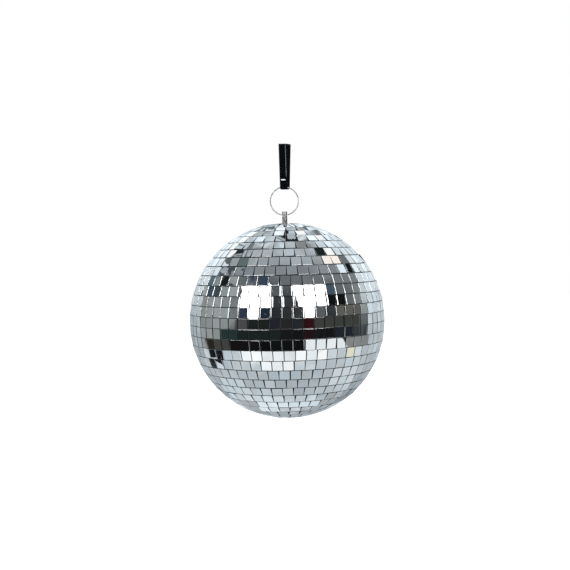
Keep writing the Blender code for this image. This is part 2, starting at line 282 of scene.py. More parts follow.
def ramp(tree, value, stops):
    """A colour ramp with (position, colour) stops. A number is a grey."""
    node = add_node(tree, "ShaderNodeValToRGB", Fac=value)
    band = node.color_ramp
    while len(band.elements) < len(stops):
        band.elements.new(1.0)
    for element, (position, color) in zip(band.elements, stops):
        element.position = position
    for element, (position, color) in zip(band.elements, stops):
        element.color = (*color, 1) if isinstance(color, tuple) else (color, color, color, 1)
    return node.outputs["Color"]


def mix_color(tree, factor, first, second, blend="MIX"):
    node = tree.nodes.new("ShaderNodeMix")
    node.data_type = "RGBA"
    node.blend_type = blend
    for key, value in (("Factor", factor), (6, first), (7, second)):
        fill(tree, node.inputs[key], (*value, 1) if isinstance(value, tuple) else value)
    return node.outputs[2]


def new_material(name):
    material = bpy.data.materials.new(name)
    material.use_nodes = True
    tree = material.node_tree
    return material, tree, tree.nodes["Principled BSDF"]


def noise(tree, scale, detail=2.0, roughness=0.5, vector=None):
    node = add_node(tree, "ShaderNodeTexNoise", Scale=scale, Detail=detail, Roughness=roughness)
    tree.links.new(vector or add_node(tree, "ShaderNodeTexCoord").outputs["Object"], node.inputs["Vector"])
    return node.outputs["Fac"]


def wave(tree, direction, scale, distortion, detail=2.0):
    node = add_node(
        tree,
        "ShaderNodeTexWave",
        {"bands_direction": direction},
        Vector=add_node(tree, "ShaderNodeTexCoord").outputs["Object"],
        Scale=scale,
        Distortion=distortion,
        Detail=detail,
    )
    return node.outputs["Fac"]


def paint(tree, shader, color, roughness, metallic=0.0):
    fill(tree, shader.inputs["Base Color"], color)
    fill(tree, shader.inputs["Roughness"], roughness)
    fill(tree, shader.inputs["Metallic"], metallic)


def bump(tree, shader, height, strength, distance):
    node = add_node(tree, "ShaderNodeBump", Strength=strength, Distance=distance, Height=height)
    tree.links.new(node.outputs["Normal"], shader.inputs["Normal"])


# ---------- materials


def mirror_material():
    """Silvered glass: each tile has its own faint tint, a little haze and dust, and a slight waviness."""
    material, tree, shader = new_material("mirror_glass")
    seed = add_node(tree, "ShaderNodeAttribute", {"attribute_name": "tile_seed"}).outputs["Fac"]
    tints = [(0.0, (0.86, 0.90, 0.92)), (0.45, (0.92, 0.94, 0.95)), (1.0, (0.95, 0.945, 0.93))]
    tint = ramp(tree, seed, tints)
    dust = smooth_step(tree, noise(tree, 900, 3), 0.66, 0.78)
    haze = smooth_step(tree, noise(tree, 60, 4, 0.6), 0.45, 0.8)
    rough = scaled(tree, haze, 0.05, 0.012)
    rough = scaled(tree, dust, 0.2, rough)
    paint(tree, shader, mix_color(tree, dust, tint, (0.72, 0.73, 0.74)), rough, 1.0)
    bump(tree, shader, noise(tree, 130, 1), 0.10, 0.0004)
    return material


def glass_edge_material():
    """The cut edge of the glass: grey green, with the chips that a cutter's wheel leaves."""
    material, tree, shader = new_material("glass_edge")
    chips = noise(tree, 1500, 3)
    color = ramp(tree, chips, [(0.3, (0.004, 0.008, 0.010)), (0.7, (0.020, 0.032, 0.038))])
    paint(tree, shader, color, scaled(tree, chips, 0.35, 0.30))
    shader.inputs["Specular IOR Level"].default_value = 0.12
    bump(tree, shader, chips, 0.3, 0.0001)
    return material


def backing_material():
    """Dark woven tape under the tiles."""
    material, tree, shader = new_material("woven_backing")
    weave = math_node(tree, "MULTIPLY", wave(tree, "Z", 420.0, 0.6), wave(tree, "DIAGONAL", 420.0, 0.6))
    color = ramp(tree, weave, [(0.0, (0.006, 0.007, 0.008)), (1.0, (0.026, 0.029, 0.032))])
    paint(tree, shader, color, 0.85)
    bump(tree, shader, weave, 0.5, 0.0002)
    return material


def metal_material(name, color, roughness, grain=0.0, spots=0.0):
    """Plated steel with a fine grain along its length and faint darker spots, and painted shade that darkens
    it where it turns away from the view.
    """
    material, tree, shader = new_material(name)
    coords = add_node(tree, "ShaderNodeTexCoord").outputs["Object"]
    stretched = add_node(tree, "ShaderNodeMapping", Vector=coords, Scale=(1.0, 1.0, 0.08)).outputs["Vector"]
    streaks = noise(tree, 2600, 3, 0.6, stretched)
    stains = smooth_step(tree, noise(tree, 420, 4, 0.65), 0.52, 0.75)
    dark = tuple(c * 0.45 for c in color)
    shade = mix_color(tree, math_node(tree, "MULTIPLY", stains, spots), color, dark)
    # Painted shade: the colour falls to the dark tone towards the silhouette, where the surface turns away
    # from the view.
    facing = add_node(tree, "ShaderNodeLayerWeight", Blend=0.5).outputs["Facing"]
    shade = mix_color(tree, smooth_step(tree, facing, 0.25, 0.85), shade, dark)
    rough = scaled(tree, streaks, grain, roughness)
    paint(tree, shader, shade, scaled(tree, stains, 0.12, rough), 1.0)
    bump(tree, shader, streaks, 0.15, 0.00005)
    return material


def ribbon_material():
    """Glossy black satin ribbon with fine ribs across its width."""
    material, tree, shader = new_material("black_ribbon")
    ribs = wave(tree, "Z", 520.0, 1.2, 1.0)
    threads = wave(tree, "X", 760.0, 0.8)
    weave = scaled(tree, ribs, 0.7, math_node(tree, "MULTIPLY", threads, 0.3))
    blotches = noise(tree, 160, 4, 0.6)
    color = ramp(tree, weave, [(0.0, (0.0010, 0.0015, 0.0022)), (1.0, (0.0024, 0.0034, 0.0046))])
    paint(tree, shader, color, scaled(tree, blotches, 0.14, 0.10))
    shader.inputs["Specular IOR Level"].default_value = 0.40
    bump(tree, shader, weave, 0.08, 0.00008)
    return material


def painted_highlight_material():
    """Painted highlight for the right edge of the ribbon's front leg: a grey far lighter than the ribbon,
    with diagonal streaks and blotches.
    """
    material, tree, shader = new_material("painted_edge_highlight")
    highlight_streaks = wave(tree, "DIAGONAL", 900.0, 0.6)
    blotches = noise(tree, 220, 3, 0.6)
    share = math_node(tree, "MULTIPLY", highlight_streaks, blotches)
    # Painted highlight: this light grey stands in for light caught along the ribbon's edge.
    color = ramp(tree, share, [(0.0, (0.085, 0.095, 0.10)), (0.6, (0.14, 0.15, 0.16))])
    paint(tree, shader, color, scaled(tree, blotches, 0.2, 0.4))
    bump(tree, shader, highlight_streaks, 0.3, 0.0001)
    return material


def plastic_material(name, color, roughness):
    """Moulded plastic with a faint grain and slight unevenness of colour."""
    material, tree, shader = new_material(name)
    cloud = noise(tree, 35, 3)
    darker = tuple(c * 0.8 for c in color)
    shade = ramp(tree, cloud, [(0.3, darker), (0.7, color)])
    grain = noise(tree, 1400, 2)
    paint(tree, shader, shade, scaled(tree, grain, 0.15, roughness))
    bump(tree, shader, grain, 0.2, 0.0001)
    return material


# ---------- tiles


def row_latitude(node):
    """Latitude of the middle of a strip, from the box of its CAD node."""
    low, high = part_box(node)
    return math.asin(((low.z + high.z) / 2 - CENTRE.z) / (BALL_RADIUS - TILE_DEPTH / 2))


def tile_axes(latitude, longitude):
    """Outward normal, east and north of a tile, before its own tilt."""
    level = Vector((math.cos(longitude), math.sin(longitude), 0))
    normal = level * math.cos(latitude) + Vector((0, 0, math.sin(latitude)))
    east = Vector((-math.sin(longitude), math.cos(longitude), 0))
    return normal, east, normal.cross(east)


def row_tile_width(latitude, count, reach):
    """Widest a tile can be, at the given distance towards the pole, without meeting the next tile."""
    circle = BALL_RADIUS * math.cos(latitude) - reach * math.sin(latitude)
    return min(TILE_WIDTH, FULL_TURN * circle / count - TIGHTEST_GAP)


def tile_outline(latitude, count, rng):
    """Corners (across, poleward) of one hand-cut tile, narrower towards the pole in a tight row."""
    half = TILE_HEIGHT / 2
    wide = row_tile_width(latitude, count, -half) / 2
    tight = row_tile_width(latitude, count, half) / 2
    corners = [(-wide, -half), (wide, -half), (tight, half), (-tight, half)]
    return [(x + rng.gauss(0, TILE_SHIFT / 2), y + rng.gauss(0, TILE_SHIFT / 2)) for x, y in corners]


def roll_insets(side, row, rng):
    """How far in a roll starts at each corner, from the side and from the end. A side roll can be a wedge."""
    reach = SIDE_ROLL_INSET
    if side * row in WIDE_ROLL_ROWS:
        reach = WIDE_SIDE_ROLL
    elif side * row in MIDDLE_ROLL_ROWS:
        reach = MIDDLE_SIDE_ROLL
    ends = WIDE_ROW_ROLL if side * row in (1, -1) else ROW_ROLL_INSET
    return [(rng.uniform(*reach), ends) for _ in range(4)]


def inset_corner(corner, side_inset, row_inset):
    x, y = corner
    return x - math.copysign(side_inset, x), y - math.copysign(row_inset, y)


class TileRow:
    """Collects the tiles of one row as one mesh: vertices, faces, face corner normals and seeds."""

    def __init__(self):
        self.verts = []
        self.faces = []
        self.normals = []
        self.materials = []
        self.seeds = []

    def add_face(self, corners, normals, material, seed):
        self.faces.append(tuple(corners))
        self.normals += normals
        self.materials.append(material)
        self.seeds.append(seed)

    def add_ring(self, corners, insets, share, depth, axes, centre):
        across, up, outward = axes
        for corner, inset in zip(corners, insets):
            x, y = inset_corner(corner, inset[0] * share, inset[1] * share)
            self.verts.append(centre + across * x + up * y - outward * depth)

    def add_tile(self, centre, axes, corners, insets, warp, seed):
        """Face, two rolled rings, glass wall and back of one tile. Axes are across, up and outward."""
        across, up, outward = axes
        base = len(self.verts)
        self.add_ring(corners, insets, 1.0, 0.0, axes, centre)
        self.add_ring(corners, insets, 0.4, ROLL_DEPTHS[0], axes, centre)
        self.add_ring(corners, insets, 0.0, ROLL_DEPTHS[1], axes, centre)
        self.add_ring(corners, insets, 0.05, TILE_GLASS, axes, centre)
        flat = []
        for x, y in corners:
            bend_x = (warp[0] * x + warp[1] * y) / (TILE_WIDTH / 2)
            bend_y = (warp[1] * x + warp[2] * y) / (TILE_WIDTH / 2)
            flat.append((outward + across * bend_x + up * bend_y).normalized())
        self.add_face([base + i for i in range(4)], flat, 0, seed)
        sides = (-up, across, up, -across)
        slopes = [(0.0, *ROW_ROLL_SLOPES), (0.0, *SIDE_ROLL_SLOPES)]
        for i in range(4):
            j = (i + 1) % 4
            for ring in range(2):
                ids = [base + 4 * ring + i, base + 4 * (ring + 1) + i]
                ids += [base + 4 * (ring + 1) + j, base + 4 * ring + j]
                shades = []
                for level, corner in ((ring, i), (ring + 1, i), (ring + 1, j), (ring, j)):
                    slope = slopes[i % 2][level]
                    shades.append((flat[corner] * math.cos(slope) + sides[i] * math.sin(slope)).normalized())
                self.add_face(ids, shades, 0, seed)
            self.add_face([base + 8 + i, base + 12 + i, base + 12 + j, base + 8 + j], [sides[i]] * 4, 1, seed)
        self.add_face([base + 15, base + 14, base + 13, base + 12], [-outward] * 4, 2, seed)

    def build(self, name, materials):
        mesh = bpy.data.meshes.new(name)
        mesh.from_pydata([tuple(v) for v in self.verts], [], self.faces)
        mesh.shade_smooth()
        for material in materials:
            mesh.materials.append(material)
        mesh.polygons.foreach_set("material_index", self.materials)
        seeds = mesh.attributes.new("tile_seed", "FLOAT", "FACE")
        seeds.data.foreach_set("value", self.seeds)
        mesh.normals_split_custom_set([tuple(n) for n in self.normals])
        mesh.update()
        return link_mesh(name, mesh)


def tilted_axes(normal, east, north, tilt, turn):
    """Across, up and outward of a tile tilted off the ball by two small angles and turned in its plane."""
    outward = (normal + east * tilt[0] + north * tilt[1]).normalized()
    across = (east - outward * east.dot(outward)).normalized()
    up = outward.cross(across)
    turned_across = across * math.cos(turn) + up * math.sin(turn)
    return turned_across, outward.cross(turned_across), outward


def tile_row(side, row, node, materials, rng):
    """One strip of loose squares, tilted a little each and in short blocks, as a strip laid by hand is."""
    latitude = row_latitude(node)
    steep = abs(latitude)
    count = round(TILES_AT_EQUATOR * math.cos(latitude))
    strip = TileRow()
    bent_share = BENT_SHARE_HIGH if side * row > LAST_FLAT_ROW else BENT_SHARE
    block = (0.0, 0.0)
    lifted = None
    if side > 0 and row == LIFTED_ROW:
        lifted = round((LIFTED_LONGITUDE % FULL_TURN) * count / FULL_TURN - 0.5 - ROW_STAGGER * row) % count
    for i in range(count):
        if i % TILES_PER_BLOCK == 0:
            block = (rng.gauss(0, BLOCK_TILT), rng.gauss(0, BLOCK_TILT))
        spread = LOOSE_TILT if rng.random() < LOOSE_SHARE else TILE_TILT
        tilt = [block[0] + rng.gauss(0, spread), block[1] + rng.gauss(0, spread)]
        tilt = [min(max(angle, -STEEPEST_TILT), STEEPEST_TILT) for angle in tilt]
        bend = BENT_WARP if rng.random() < bent_share else TILE_WARP
        warp = [rng.gauss(0, bend) for _ in range(3)]
        slide = rng.gauss(0, TILE_SHIFT) / BALL_RADIUS
        turn = rng.gauss(0, TILE_TURN)
        corners = tile_outline(steep, count, rng)
        insets = roll_insets(side, row, rng)
        lift = TILE_HEIGHT * TILT_LIFT * math.hypot(*tilt)
        if side * row < -LAST_WIDE_LOWER_ROW:
            corners = [inset_corner(corner, LOWER_TRIM / 2, LOWER_TRIM / 2) for corner in corners]
        if i == lifted:
            tilt[1] -= LIFTED_TILT
            lift += LIFTED_HEIGHT
            corners = [(x * LIFTED_SIZE, y * LIFTED_SIZE + LIFTED_SLIDE) for x, y in corners]
        longitude = FULL_TURN * (i + 0.5 + ROW_STAGGER * row) / count + slide
        normal, east, north = tile_axes(latitude, longitude)
        across, up, outward = tilted_axes(normal, east, north, tilt, turn)
        if side < 0:
            across, up = -across, -up
        centre = CENTRE + normal * (BALL_RADIUS - TILE_SINK + lift)
        strip.add_tile(centre, (across, up, outward), corners, insets, warp, rng.random())
    word = "upper" if side > 0 else "lower"
    return strip.build(f"tiles_{word}_{row:02d}", materials)


def tile_backing(side, first, latitudes, material):
    """The woven tape under the tiles of one half, from its first latitude, grooved between the strips."""
    outer = BALL_RADIUS - TILE_GLASS - TILE_SINK
    inner = outer - BACKING_DEPTH
    groove = outer - BACKING_GROOVE
    joints = [(a + b) / 2 for a, b in zip(latitudes, latitudes[1:])]
    starts = [first + HALF_GROOVE] + [joint + HALF_GROOVE for joint in joints]
    ends = [joint - HALF_GROOVE for joint in joints] + [latitudes[-1] + BACKING_PAST_LAST]
    points = []
    for start, end in zip(starts, ends):
        points += [(outer, start + (end - start) * i / 5) for i in range(6)]
        if end != ends[-1]:
            points += [(groove, end + HALF_GROOVE * 0.3), (groove, end + HALF_GROOVE * 1.7)]
    points += [(inner, ends[-1] + (starts[0] - ends[-1]) * i / 30) for i in range(31)]
    outline = [(r * math.cos(a), side * r * math.sin(a)) for r, a in points]
    name = "tile_backing_upper" if side > 0 else "tile_backing_lower"
    return turned(name, outline, 120, material, sharp=math.radians(50))


def build_tiles():
    materials = [mirror_material(), glass_edge_material(), backing_material()]
    rng = random.Random(20)
    middle = (row_latitude("tile_row_upper_01") + row_latitude("tile_row_lower_01")) / 2
    for side, word in ((1, "upper"), (-1, "lower")):
        latitudes = []
        for row in range(1, ROWS_PER_HALF + 1):
            node = f"tile_row_{word}_{row:02d}"
            latitudes.append(side * row_latitude(node))
            strip = tile_row(side, row, node, materials, rng)
            dress(strip, "ball", "mirror_tile", node)
        dress(tile_backing(side, side * middle, latitudes, materials[2]), "ball", "mirror_tile")
    return materials[0]


# ---------- pole pieces and post


def bottom_disc(material):
    """Round mirror that closes the bottom pole, with a bevelled rim."""
    low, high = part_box("bottom_mirror")
    radius = (high.x - low.x) / 2
    top = high.z - CENTRE.z
    bottom = low.z - CENTRE.z
    bevel = 0.0006
    outline = [
        (0.0, top),
        (radius - 0.0001, top),
        (radius, top - 0.0001),
        (radius, bottom + 0.0003),
        (radius - 0.0001, bottom + 0.0002),
        (radius - bevel, bottom),
        (radius - bevel - 0.0001, bottom),
        (0.0, bottom),
    ]
    return turned("bottom_mirror_disc", outline, 96, material, closed=False, sharp=math.radians(15))


def cap_cover(material):
    """Pressed metal cover round the post: a low dome with a rolled rim and a raised collar at its hole."""
    low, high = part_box("top_cap")
    radius = (high.x - low.x) / 2
    base = low.z - CENTRE.z
    top = high.z - CENTRE.z
    shoulder = base + CAP_WALL
    steps = 14

    def dome(t, rim, level):
        r = (radius - rim) + (CAP_HOLE + 0.0008 - radius + rim) * t
        return r, level + (top - shoulder) * math.sin(t * math.pi / 2) ** 0.9

    outline = [(radius, base), (radius, base + CAP_WALL * 0.5), (radius - 0.0002, shoulder)]
    outline += [dome(i / steps, 0.0009, shoulder) for i in range(steps + 1)]
    outline += [(CAP_HOLE + 0.0004, top + 0.0002), (CAP_HOLE, top), (CAP_HOLE, top - CAP_WALL * 0.8)]
    outline += [dome(1 - i / steps, 0.0013, shoulder - CAP_WALL) for i in range(steps + 1)]
    outline.append((radius - 0.0004, base))
    return turned("cap_cover", outline, 96, material, sharp=math.radians(50))


def post_outline():
    """Half section of the post: head inside the ball, snap-ring groove, turned shank and open top."""
    low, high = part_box("hanger_post")
    bottom = low.z - CENTRE.z
    top = high.z - CENTRE.z
    shank = POST_SHANK
    head = (high.x - low.x) / 2
    floor = top - POST_BORE_DEPTH
    marks = []
    for depth in POST_MARKS:
        height = top - depth
        marks += [(shank, height + 0.00016), (shank - 0.00018, height), (shank, height - 0.00016)]
    upper_edge, lower_edge = GROOVE_LEVELS
    groove = [(shank, upper_edge), (GROOVE_RADIUS, upper_edge)]
    groove += [(GROOVE_RADIUS, lower_edge), (shank, lower_edge)]
    rim = [(POST_BORE + 0.0002, top), (shank - 0.0003, top)]
    rim += [(shank - 0.00008, top - 0.0001), (shank, top - 0.0004)]
    shoulder = bottom + POST_HEAD_DEPTH
    lower = [(shank, shoulder), (head - 0.0002, shoulder), (head, shoulder - 0.0002)]
    lower += [(head, bottom + 0.0002), (head - 0.0002, bottom), (0.0, bottom)]
    bore = [(0.0, floor - 0.0006), (POST_BORE, floor), (POST_BORE, top - 0.0003)]
    return bore + rim + marks + groove + lower


def drilled(item, centre, axis, radius, material):
    """Cuts a round hole through a piece. The cutter is removed again afterwards."""
    body = bmesh.new()
    turn = Vector((0, 0, 1)).rotation_difference(axis).to_matrix().to_4x4()
    place = Matrix.Translation(centre) @ turn
    bmesh.ops.create_cone(
        body, segments=48, radius1=radius, radius2=radius, depth=0.02, cap_ends=True, matrix=place
    )
    mesh = written("cutter", body, material)
    cutter = link_mesh("cutter", mesh)
    cut = item.modifiers.new("hole", "BOOLEAN")
    cut.object = cutter
    cut.solver = "EXACT"
    apply_modifiers(item)
    bpy.data.objects.remove(cutter)
    bpy.data.meshes.remove(mesh)
    item.data.shade_smooth()
    item.data.set_sharp_from_angle(angle=math.radians(28))
    return item


def apply_modifiers(item):
    graph = bpy.context.evaluated_depsgraph_get()
    finished = bpy.data.meshes.new_from_object(item.evaluated_get(graph))
    item.modifiers.clear()
    item.data = finished


def build_post():
    steel = metal_material("nickel_steel", (0.36, 0.35, 0.34), 0.36, 0.16, 0.7)
    bright = metal_material("cap_steel", (0.86, 0.87, 0.88), 0.16, 0.10, 0.3)
    brushed = metal_material("cap_finish", (0.90, 0.91, 0.92), 0.48, 0.10, 0.3)
    post = turned("swivel_post", post_outline(), 96, steel, closed=False, sharp=math.radians(28))
    drilled(post, CROSS_HOLE, Vector((1, 0, 0)), CROSS_HOLE_RADIUS, steel)
    dress(post, "hanger", "hanger", "hanger_post")
    dress(cap_cover(brushed), "ball", "hanger", "top_cap")
    for node in ("thrust_washer", "retaining_clip"):
        repaint(node, bright)
    return steel


# ---------- split ring


def wire_section():
    """Outline of the wire as (radial, axial) offsets: a flat strip with well rounded corners."""
    a = WIRE_RADIAL / 2 - WIRE_ROUNDING
    b = WIRE_AXIAL / 2 - WIRE_ROUNDING
    points = []
    for quarter, (sign_a, sign_b) in enumerate(((1, 1), (-1, 1), (-1, -1), (1, -1))):
        for i in range(5):
            angle = math.pi / 2 * (quarter + i / 4)
            points.append((
                sign_a * a + WIRE_ROUNDING * math.cos(angle),
                sign_b * b + WIRE_ROUNDING * math.sin(angle),
            ))
    return points


def split_ring(material):
    """Wire wound nearly twice round, its coils side by side, stepping across once opposite the ends."""
    low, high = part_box("split_ring")
    middle = (low + high) / 2
    radius = (high.x - low.x) / 2 - WIRE_RADIAL / 2
    spacing = high.y - low.y - WIRE_AXIAL
    start = WIRE_END_ANGLE
    end = 2 * FULL_TURN - WIRE_END_ANGLE
    sections = []
    for i in range(WIRE_STEPS + 1):
        angle = start + (end - start) * i / WIRE_STEPS
        t = (angle - FULL_TURN + WIRE_JOG_ANGLE) / (2 * WIRE_JOG_ANGLE)
        t = min(max(t, 0.0), 1.0)
        outward = Vector((math.cos(angle), 0, math.sin(angle)))
        along = Vector((0, 1, 0))
        place = middle + outward * radius + along * spacing * (t * t * (3 - 2 * t) - 0.5)
        near_end = min(i, WIRE_STEPS - i) / 3
        size = WIRE_TIP + (1 - WIRE_TIP) * math.sin(min(near_end, 1.0) * math.pi / 2)
        sections.append([place + outward * r * size + along * s * size for r, s in wire_section()])
    return lofted("split_ring_wire", sections, False, material)


# ---------- ribbon and staple


def ribbon_levels():
    """Height of the fold's middle and of the upper bends' middle, and half the loop's depth at the top."""
    return RING_TOP.z, RIBBON_DEPTH / 2 - RIBBON_BEND_RADIUS, RIBBON_TOP_HALF + RIBBON_BEND_RADIUS


def front_leg(height):
    """(x, y) of the middle of the front leg at a height."""
    fold_z, bend_z, side = ribbon_levels()
    t = (height - fold_z) / (bend_z - fold_z)
    x = RIBBON_FRONT_FOLD_X + (RIBBON_FRONT_TOP_X - RIBBON_FRONT_FOLD_X) * t
    bulge = RIBBON_BULGE * math.exp(-(((height - staple_height() - BULGE_ABOVE_STAPLE) / BULGE_REACH) ** 2))
    return x, -RIBBON_FOLD_RADIUS + (RIBBON_FOLD_RADIUS - side) * t - bulge


def ribbon_path():
    """Once round the loop: (x, y, z, normal angle), with the outward normal measured from +Z towards +Y."""
    fold_z, bend_z, side = ribbon_levels()
    quarter = math.pi / 2
    path = []
    for i in range(13):
        a = quarter * i / 12
        y = RIBBON_TOP_HALF + RIBBON_BEND_RADIUS * math.sin(a)
        path.append((RIBBON_BACK_TOP_X, y, bend_z + RIBBON_BEND_RADIUS * math.cos(a), a))
    for i in range(1, 40):
        t = i / 40
        x = RIBBON_BACK_TOP_X + (RIBBON_BACK_FOLD_X - RIBBON_BACK_TOP_X) * t
        path.append((x, side + (RIBBON_FOLD_RADIUS - side) * t, bend_z + (fold_z - bend_z) * t, quarter))
    for i in range(33):
        t = i / 32
        a = quarter + math.pi * t
        x = RIBBON_BACK_FOLD_X + (RIBBON_FRONT_FOLD_X - RIBBON_BACK_FOLD_X) * t
        y = RIBBON_FOLD_RADIUS * math.sin(a)
        path.append((x, y, fold_z + RIBBON_FOLD_RADIUS * math.cos(a), a))
    for i in range(1, 56):
        z = fold_z + (bend_z - fold_z) * i / 56
        x, y = front_leg(z)
        path.append((x, y, z, -quarter))
    for i in range(13):
        a = -quarter + quarter * i / 12
        y = -RIBBON_TOP_HALF + RIBBON_BEND_RADIUS * math.sin(a)
        path.append((RIBBON_FRONT_TOP_X, y, bend_z + RIBBON_BEND_RADIUS * math.cos(a), a))
    for i in range(1, 8):
        t = i / 8
        x = RIBBON_FRONT_TOP_X + (RIBBON_BACK_TOP_X - RIBBON_FRONT_TOP_X) * t
        path.append((x, RIBBON_TOP_HALF * (2 * t - 1), RIBBON_DEPTH / 2, 0.0))
    return path


def band_section(width, depth):
    """Outline across a ribbon as (across, out), with rounded woven edges a little thicker than the rest."""
    half = width / 2
    thick = depth / 2
    upper = [
        (-half, 0.0),
        (-half + 0.00006, thick * 0.62),
        (-half + 0.00022, thick * 0.96),
        (-half + 0.00040, thick),
        (-half + 0.00062, thick * 0.84),
        (-half + 0.00085, thick * 0.80),
    ]
    upper += [(x * half, thick * 0.84) for x in (-0.35, 0.0, 0.35)]
    upper += [(-x, y) for x, y in reversed(upper[:6])]
    return upper + [(x, -y) for x, y in reversed(upper[1:-1])]


def ribbon_loop(material, highlight):
    """The loop, with a painted highlight along the right edge of its front leg."""
    sections = []
    outline = band_section(RIBBON_WIDTH, RIBBON_DEPTH)
    path = ribbon_path()
    for x, y, z, angle in path:
        normal = Vector((0, math.sin(angle), math.cos(angle)))
        middle = Vector((x, y, z))
        sections.append([middle + Vector((u, 0, 0)) + normal * v for u, v in outline])
    loop = lofted("ribbon", sections, True, material, sharp=math.radians(60))
    loop.data.materials.append(highlight)
    for face in loop.data.polygons:
        along, around = divmod(face.index, len(outline))
        on_front = path[along][1] < -RIBBON_FOLD_RADIUS / 2 and path[along][3] == -math.pi / 2
        # Faces along the front leg's right edge get the painted highlight material.
        if on_front and RIBBON_EDGE_FACES[0] <= around < RIBBON_EDGE_FACES[1]:
            face.material_index = 1
    return loop


def staple_height():
    low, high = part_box("strap_staple")
    return (low.z + high.z) / 2


def end_profile(z, bottom):
    """Half width of the ribbon's loose end at a height: its corners are rounded at the bottom."""
    short = max(0.0, END_CORNER - (z - bottom))
    return END_WIDTH / 2 - END_CORNER + math.sqrt(max(0.0, END_CORNER**2 - short**2))


def ribbon_end(material):
    """The ribbon's loose end, flat in front of the fold and held by the staple."""
    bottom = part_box("strap")[0].z + END_ABOVE_FOLD
    top = staple_height() + END_ABOVE_STAPLE
    away = RIBBON_DEPTH / 2 + END_DEPTH / 2 + END_GAP
    outline = band_section(END_WIDTH, END_DEPTH)
    steps = 36
    sections = []
    for i in range(steps + 1):
        t = i / steps
        z = bottom + (top - bottom) * t * t
        half = end_profile(z, bottom)
        x, y = front_leg(max(z, RING_TOP.z))
        middle = Vector((x + END_SHIFT, y - away, z))
        share = half / (END_WIDTH / 2)
        sections.append([middle + Vector((u * share, -v, 0)) for u, v in outline])
    return lofted("ribbon_end", sections, False, material, sharp=math.radians(60))


def staple(material):
    """Flat bright wire: a slightly kinked crown across the ribbon, two legs, and feet clinched behind."""
    z = staple_height()
    x, y = front_leg(z)
    front = y - RIBBON_DEPTH / 2 - END_DEPTH - STAPLE_FRONT
    back = y + RIBBON_DEPTH / 2 + STAPLE_BACK
    half = STAPLE_WIDTH / 2 - STAPLE_WIRE / 2
    path = [(-half + 0.0016, back, 0.0), (-half + 0.0003, back, 0.0), (-half, back - 0.0003, 0.0)]
    path += [(-half, front + 0.0005, 0.0), (-half + 0.00015, front + 0.00015, 0.0)]
    for i in range(15):
        t = -1 + 2 * i / 14
        kink = STAPLE_KINK * math.exp(-((t * 2.6) ** 2))
        path.append((t * (half - 0.0006), front - 0.00005 * (1 - t * t), -kink))
    path += [(-u, v, w) for u, v, w in reversed(path[:5])]
    points = [Vector((x + 0.00002 + u, v, z + w)) for u, v, w in path]
    sections = []
    for i, point in enumerate(points):
        ahead = points[min(i + 1, len(points) - 1)] - points[max(i - 1, 0)]
        ahead.z = 0
        out = ahead.normalized().cross(Vector((0, 0, 1)))
        section = []
        for j in range(14):
            angle = FULL_TURN * j / 14
            rise = STAPLE_HEIGHT / 2 * math.copysign(abs(math.sin(angle)) ** 0.8, math.sin(angle))
            section.append(point + Vector((0, 0, rise)) + out * STAPLE_WIRE / 2 * math.cos(angle))
        sections.append(section)
    return lofted("staple", sections, False, material, sharp=math.radians(60))


def build_hanging():
    wire = metal_material("ring_steel", (0.52, 0.52, 0.515), 0.36, 0.10, 0.12)
    bright = metal_material("staple_steel", (0.88, 0.88, 0.88), 0.46, 0.08, 0.1)
    ribbon = ribbon_material()
    dress(split_ring(wire), "ring", "ring", "split_ring")
    # The ribbon loop carries a painted highlight along its front leg's right edge.
    dress(ribbon_loop(ribbon, painted_highlight_material()), "ribbon_loop", "ribbon", "strap")
    dress(ribbon_end(ribbon), "ribbon_loop", "ribbon")
    dress(staple(bright), "ribbon_loop", "staple", "strap_staple")


def build_core():
    core = plastic_material("core_plastic", (0.30, 0.31, 0.33), 0.42)
    nylon = plastic_material("bush_nylon", (0.82, 0.81, 0.77), 0.45)
    for node in ("core_upper", "core_lower"):
        repaint(node, core)
    repaint("hub_bush", nylon)


# ---------- studio


CAMERA_ELEVATION = math.radians(4.3)
CAMERA_DISTANCE = 0.94
CAMERA_LENS = 57.42
CAMERA_ROLL = math.radians(-1.37)
# How far the camera aims left of and above the ball's centre.
AIM_LEFT = 0.0014
AIM_UP = 0.0362
FLOOR_DROP = 0.31

# The studio has a pale ceiling and walls, two softboxes, a dark room behind the camera and a bright floor.
# It is laid out by the place on the ball that mirrors it to the camera: longitude and latitude, in degrees.
# Tones run from straight up to straight down, in front and at the sides.
FRONT_TONES = [
    (90, 1.3), (81, 1.3), (75, 0.88), (69, 0.74), (63, 0.82), (57, 0.61), (50, 0.50), (45, 0.50), (39, 0.37),
    (34, 0.27), (31, 0.255), (27, 0.165), (21, 0.095), (15, 0.050), (9, 0.030), (3, 0.024), (-3, 0.0100),
    (-12.3, 0.0050), (-12.5, 0.62), (-18, 0.62), (-24, 0.60), (-28, 0.54), (-36, 0.51), (-42, 0.57),
    (-50, 0.82), (-58, 0.98), (-63, 0.36), (-67, 0.46), (-90, 0.60),
]
LEFT_TONES = [
    (90, 0.60), (70, 0.70), (64, 0.93), (57, 1.0), (50, 1.0), (40, 0.94), (33, 0.86), (27, 0.74), (21, 0.64),
    (15, 0.62), (9, 0.55), (3, 0.45), (-3, 0.48), (-9, 0.43), (-15, 0.43), (-21, 0.46), (-27, 0.51),
    (-40, 0.45), (-47, 0.34), (-50, 0.45), (-54, 0.65), (-90, 0.5),
]
RIGHT_TONES = [
    (90, 0.60), (69, 0.86), (64, 0.85), (57, 0.92), (51, 0.78), (45, 0.82), (39, 0.88), (33, 0.92),
    (27, 0.90), (21, 0.82), (15, 0.75), (9, 0.72), (3, 0.64), (-3, 0.57), (-9, 0.55), (-15, 0.55),
    (-21, 0.54), (-27, 0.45), (-33, 0.46), (-39, 0.38), (-45, 0.31), (-50, 0.22), (-53, 0.32),
    (-57, 0.6), (-90, 0.5),
]
STUDIO_TINT = (0.90, 1.0, 1.07)
SOFTBOX_LIGHT = 6.0
FLOOR_GLOW = (1.00, 0.93, 0.885)
LEFT_WALL = (0.32, 0.315, 0.295)
RIGHT_WALL = (0.25, 0.25, 0.235)
